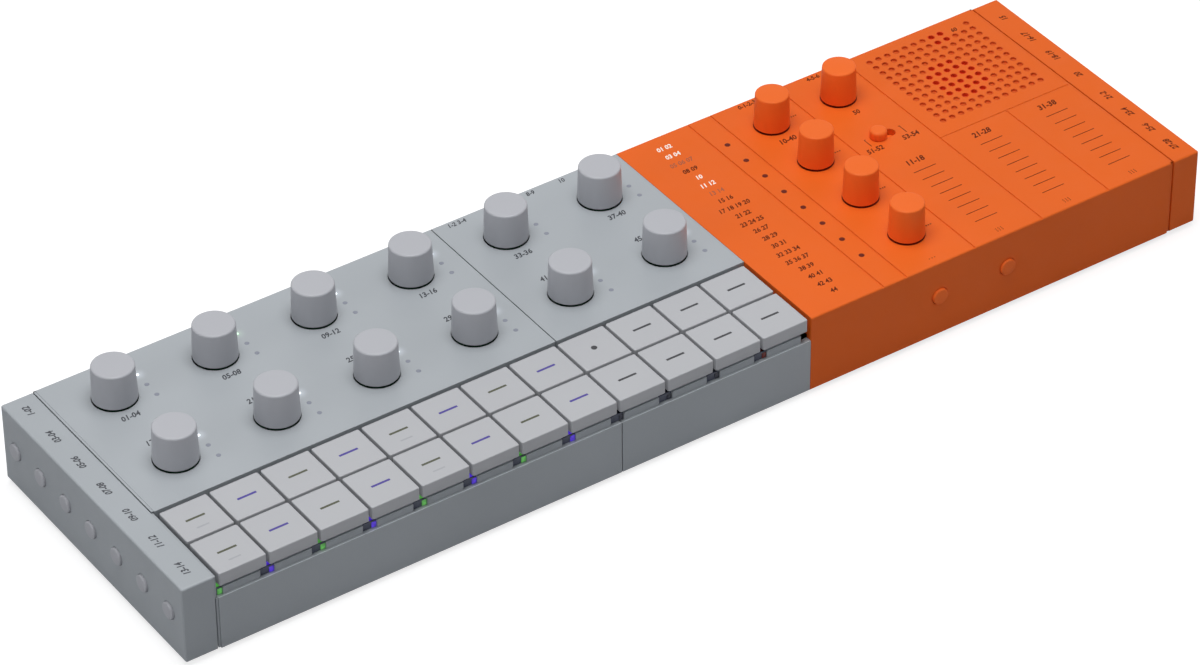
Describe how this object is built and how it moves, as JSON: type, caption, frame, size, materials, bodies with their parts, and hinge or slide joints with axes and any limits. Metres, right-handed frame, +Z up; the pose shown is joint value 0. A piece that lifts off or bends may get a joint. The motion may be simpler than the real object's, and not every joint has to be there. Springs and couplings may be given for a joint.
{
  "type": "drum machine",
  "caption": "Slim desktop drum machine with square keys in a front bay, tapered knobs above them and an orange effects panel with sound holes.",
  "frame": {"origin": "centre of the footprint, on the surface that the feet stand on", "axes": "+X along the length to the orange end, +Y to the rear, +Z up"},
  "size_m": [0.343, 0.097, 0.038],
  "materials": {
    "grey_case": "fine matte",
    "grey_cap": "fine matte",
    "orange_case": "fine matte",
    "dark_cover": "fine matte",
    "black_rubber": "matte",
    "steel": "satin",
    "board": "solder mask",
    "socket_black": "satin",
    "clear_guide": "clear",
    "battery_wrap": "smooth",
    "speaker_black": "matte",
    "keycap": "fine matte",
    "grey_knob": "fine matte",
    "orange_knob": "fine matte"
  },
  "bodies": {
    "case": {"left_end_cap": "grey_cap", "right_end_cap": "orange_case", "drum_housing": "grey_case", "synth_housing": "grey_case", "effects_housing": "orange_case", "bottom_cover": "dark_cover", "rubber_feet": "black_rubber", "cover_screws": "steel", "main_board": "board", "sockets": "socket_black", "light_guides": "clear_guide", "battery": "battery_wrap", "speaker": "speaker_black"},
    "drum_key_1": {"drum_key_1": "keycap"},
    "drum_key_2": {"drum_key_2": "keycap"},
    "drum_key_3": {"drum_key_3": "keycap"},
    "drum_key_4": {"drum_key_4": "keycap"},
    "drum_key_5": {"drum_key_5": "keycap"},
    "drum_key_6": {"drum_key_6": "keycap"},
    "drum_key_7": {"drum_key_7": "keycap"},
    "drum_key_8": {"drum_key_8": "keycap"},
    "drum_key_9": {"drum_key_9": "keycap"},
    "drum_key_10": {"drum_key_10": "keycap"},
    "drum_key_11": {"drum_key_11": "keycap"},
    "drum_key_12": {"drum_key_12": "keycap"},
    "drum_key_13": {"drum_key_13": "keycap"},
    "drum_key_14": {"drum_key_14": "keycap"},
    "drum_key_15": {"drum_key_15": "keycap"},
    "drum_key_16": {"drum_key_16": "keycap"},
    "synth_key_1": {"synth_key_1": "keycap"},
    "synth_key_2": {"synth_key_2": "keycap"},
    "synth_key_3": {"synth_key_3": "keycap"},
    "synth_key_4": {"synth_key_4": "keycap"},
    "synth_key_5": {"synth_key_5": "keycap"},
    "synth_key_6": {"synth_key_6": "keycap"},
    "synth_key_7": {"synth_key_7": "keycap"},
    "synth_key_8": {"synth_key_8": "keycap"},
    "drum_knob_5": {"drum_knob_5": "grey_knob"},
    "drum_knob_6": {"drum_knob_6": "grey_knob"},
    "drum_knob_7": {"drum_knob_7": "grey_knob"},
    "drum_knob_8": {"drum_knob_8": "grey_knob"},
    "synth_knob_3": {"synth_knob_3": "grey_knob"},
    "synth_knob_4": {"synth_knob_4": "grey_knob"},
    "drum_knob_1": {"drum_knob_1": "grey_knob"},
    "drum_knob_2": {"drum_knob_2": "grey_knob"},
    "drum_knob_3": {"drum_knob_3": "grey_knob"},
    "drum_knob_4": {"drum_knob_4": "grey_knob"},
    "synth_knob_1": {"synth_knob_1": "grey_knob"},
    "synth_knob_2": {"synth_knob_2": "grey_knob"},
    "sound_knob_4": {"sound_knob_4": "orange_knob"},
    "sound_knob_3": {"sound_knob_3": "orange_knob"},
    "sound_knob_2": {"sound_knob_2": "orange_knob"},
    "sound_knob_1": {"sound_knob_1": "orange_knob"},
    "effects_knob": {"effects_knob": "orange_knob"},
    "slide_switch": {"slide_switch": "grey_knob"},
    "left_buttons": {"left_buttons": "grey_knob"},
    "right_buttons": {"right_buttons": "orange_knob"},
    "rear_buttons": {"rear_buttons": "orange_knob"},
    "front_button_1": {"front_button_1": "orange_knob"},
    "front_button_2": {"front_button_2": "orange_knob"}
  },
  "joints": [
    {"name": "drum_key_1_press", "type": "slide", "parent": "case", "child": "drum_key_1", "axis": [0, 0, -1], "range_m": [0, 0.001], "stiffness_N_per_m": 600},
    {"name": "drum_key_2_press", "type": "slide", "parent": "case", "child": "drum_key_2", "axis": [0, 0, -1], "range_m": [0, 0.001], "stiffness_N_per_m": 600},
    {"name": "drum_key_3_press", "type": "slide", "parent": "case", "child": "drum_key_3", "axis": [0, 0, -1], "range_m": [0, 0.001], "stiffness_N_per_m": 600},
    {"name": "drum_key_4_press", "type": "slide", "parent": "case", "child": "drum_key_4", "axis": [0, 0, -1], "range_m": [0, 0.001], "stiffness_N_per_m": 600},
    {"name": "drum_key_5_press", "type": "slide", "parent": "case", "child": "drum_key_5", "axis": [0, 0, -1], "range_m": [0, 0.001], "stiffness_N_per_m": 600},
    {"name": "drum_key_6_press", "type": "slide", "parent": "case", "child": "drum_key_6", "axis": [0, 0, -1], "range_m": [0, 0.001], "stiffness_N_per_m": 600},
    {"name": "drum_key_7_press", "type": "slide", "parent": "case", "child": "drum_key_7", "axis": [0, 0, -1], "range_m": [0, 0.001], "stiffness_N_per_m": 600},
    {"name": "drum_key_8_press", "type": "slide", "parent": "case", "child": "drum_key_8", "axis": [0, 0, -1], "range_m": [0, 0.001], "stiffness_N_per_m": 600},
    {"name": "drum_key_9_press", "type": "slide", "parent": "case", "child": "drum_key_9", "axis": [0, 0, -1], "range_m": [0, 0.001], "stiffness_N_per_m": 600},
    {"name": "drum_key_10_press", "type": "slide", "parent": "case", "child": "drum_key_10", "axis": [0, 0, -1], "range_m": [0, 0.001], "stiffness_N_per_m": 600},
    {"name": "drum_key_11_press", "type": "slide", "parent": "case", "child": "drum_key_11", "axis": [0, 0, -1], "range_m": [0, 0.001], "stiffness_N_per_m": 600},
    {"name": "drum_key_12_press", "type": "slide", "parent": "case", "child": "drum_key_12", "axis": [0, 0, -1], "range_m": [0, 0.001], "stiffness_N_per_m": 600},
    {"name": "drum_key_13_press", "type": "slide", "parent": "case", "child": "drum_key_13", "axis": [0, 0, -1], "range_m": [0, 0.001], "stiffness_N_per_m": 600},
    {"name": "drum_key_14_press", "type": "slide", "parent": "case", "child": "drum_key_14", "axis": [0, 0, -1], "range_m": [0, 0.001], "stiffness_N_per_m": 600},
    {"name": "drum_key_15_press", "type": "slide", "parent": "case", "child": "drum_key_15", "axis": [0, 0, -1], "range_m": [0, 0.001], "stiffness_N_per_m": 600},
    {"name": "drum_key_16_press", "type": "slide", "parent": "case", "child": "drum_key_16", "axis": [0, 0, -1], "range_m": [0, 0.001], "stiffness_N_per_m": 600},
    {"name": "synth_key_1_press", "type": "slide", "parent": "case", "child": "synth_key_1", "axis": [0, 0, -1], "range_m": [0, 0.001], "stiffness_N_per_m": 600},
    {"name": "synth_key_2_press", "type": "slide", "parent": "case", "child": "synth_key_2", "axis": [0, 0, -1], "range_m": [0, 0.001], "stiffness_N_per_m": 600},
    {"name": "synth_key_3_press", "type": "slide", "parent": "case", "child": "synth_key_3", "axis": [0, 0, -1], "range_m": [0, 0.001], "stiffness_N_per_m": 600},
    {"name": "synth_key_4_press", "type": "slide", "parent": "case", "child": "synth_key_4", "axis": [0, 0, -1], "range_m": [0, 0.001], "stiffness_N_per_m": 600},
    {"name": "synth_key_5_press", "type": "slide", "parent": "case", "child": "synth_key_5", "axis": [0, 0, -1], "range_m": [0, 0.001], "stiffness_N_per_m": 600},
    {"name": "synth_key_6_press", "type": "slide", "parent": "case", "child": "synth_key_6", "axis": [0, 0, -1], "range_m": [0, 0.001], "stiffness_N_per_m": 600},
    {"name": "synth_key_7_press", "type": "slide", "parent": "case", "child": "synth_key_7", "axis": [0, 0, -1], "range_m": [0, 0.001], "stiffness_N_per_m": 600},
    {"name": "synth_key_8_press", "type": "slide", "parent": "case", "child": "synth_key_8", "axis": [0, 0, -1], "range_m": [0, 0.001], "stiffness_N_per_m": 600},
    {"name": "drum_knob_5_turn", "type": "hinge", "parent": "case", "child": "drum_knob_5", "pos_m": [-0.14343, 0.0003, 0.03], "axis": [0, 0, 1], "continuous": true},
    {"name": "drum_knob_6_turn", "type": "hinge", "parent": "case", "child": "drum_knob_6", "pos_m": [-0.11143, 0.0003, 0.03], "axis": [0, 0, 1], "continuous": true},
    {"name": "drum_knob_7_turn", "type": "hinge", "parent": "case", "child": "drum_knob_7", "pos_m": [-0.07943, 0.0003, 0.03], "axis": [0, 0, 1], "continuous": true},
    {"name": "drum_knob_8_turn", "type": "hinge", "parent": "case", "child": "drum_knob_8", "pos_m": [-0.04743, 0.0003, 0.03], "axis": [0, 0, 1], "continuous": true},
    {"name": "synth_knob_3_turn", "type": "hinge", "parent": "case", "child": "synth_knob_3", "pos_m": [-0.01543, 0.0003, 0.03], "axis": [0, 0, 1], "continuous": true},
    {"name": "synth_knob_4_turn", "type": "hinge", "parent": "case", "child": "synth_knob_4", "pos_m": [0.01657, 0.0003, 0.03], "axis": [0, 0, 1], "continuous": true},
    {"name": "drum_knob_1_turn", "type": "hinge", "parent": "case", "child": "drum_knob_1", "pos_m": [-0.14343, 0.0325, 0.03], "axis": [0, 0, 1], "continuous": true},
    {"name": "drum_knob_2_turn", "type": "hinge", "parent": "case", "child": "drum_knob_2", "pos_m": [-0.11143, 0.0325, 0.03], "axis": [0, 0, 1], "continuous": true},
    {"name": "drum_knob_3_turn", "type": "hinge", "parent": "case", "child": "drum_knob_3", "pos_m": [-0.07943, 0.0325, 0.03], "axis": [0, 0, 1], "continuous": true},
    {"name": "drum_knob_4_turn", "type": "hinge", "parent": "case", "child": "drum_knob_4", "pos_m": [-0.04743, 0.0325, 0.03], "axis": [0, 0, 1], "continuous": true},
    {"name": "synth_knob_1_turn", "type": "hinge", "parent": "case", "child": "synth_knob_1", "pos_m": [-0.01543, 0.0325, 0.03], "axis": [0, 0, 1], "continuous": true},
    {"name": "synth_knob_2_turn", "type": "hinge", "parent": "case", "child": "synth_knob_2", "pos_m": [0.01657, 0.0325, 0.03], "axis": [0, 0, 1], "continuous": true},
    {"name": "sound_knob_4_turn", "type": "hinge", "parent": "case", "child": "sound_knob_4", "pos_m": [0.0776, -0.03145, 0.03], "axis": [0, 0, 1], "continuous": true},
    {"name": "sound_knob_3_turn", "type": "hinge", "parent": "case", "child": "sound_knob_3", "pos_m": [0.0776, -0.00985, 0.03], "axis": [0, 0, 1], "continuous": true},
    {"name": "sound_knob_2_turn", "type": "hinge", "parent": "case", "child": "sound_knob_2", "pos_m": [0.0776, 0.01175, 0.03], "axis": [0, 0, 1], "continuous": true},
    {"name": "sound_knob_1_turn", "type": "hinge", "parent": "case", "child": "sound_knob_1", "pos_m": [0.0776, 0.03335, 0.03], "axis": [0, 0, 1], "continuous": true},
    {"name": "effects_knob_turn", "type": "hinge", "parent": "case", "child": "effects_knob", "pos_m": [0.1016, 0.03335, 0.03], "axis": [0, 0, 1], "continuous": true},
    {"name": "slide_switch_shift", "type": "slide", "parent": "case", "child": "slide_switch", "axis": [1, 0, 0], "range_m": [0, 0.004]},
    {"name": "left_buttons_press", "type": "slide", "parent": "case", "child": "left_buttons", "axis": [1, 0, 0], "range_m": [0, 0.0005], "stiffness_N_per_m": 800},
    {"name": "right_buttons_press", "type": "slide", "parent": "case", "child": "right_buttons", "axis": [-1, 0, 0], "range_m": [0, 0.0005], "stiffness_N_per_m": 800},
    {"name": "rear_buttons_press", "type": "slide", "parent": "case", "child": "rear_buttons", "axis": [0, -1, 0], "range_m": [0, 0.0005], "stiffness_N_per_m": 800},
    {"name": "front_button_1_press", "type": "slide", "parent": "case", "child": "front_button_1", "axis": [0, 1, 0], "range_m": [0, 0.0005], "stiffness_N_per_m": 800},
    {"name": "front_button_2_press", "type": "slide", "parent": "case", "child": "front_button_2", "axis": [0, 1, 0], "range_m": [0, 0.0005], "stiffness_N_per_m": 800}
  ]
}
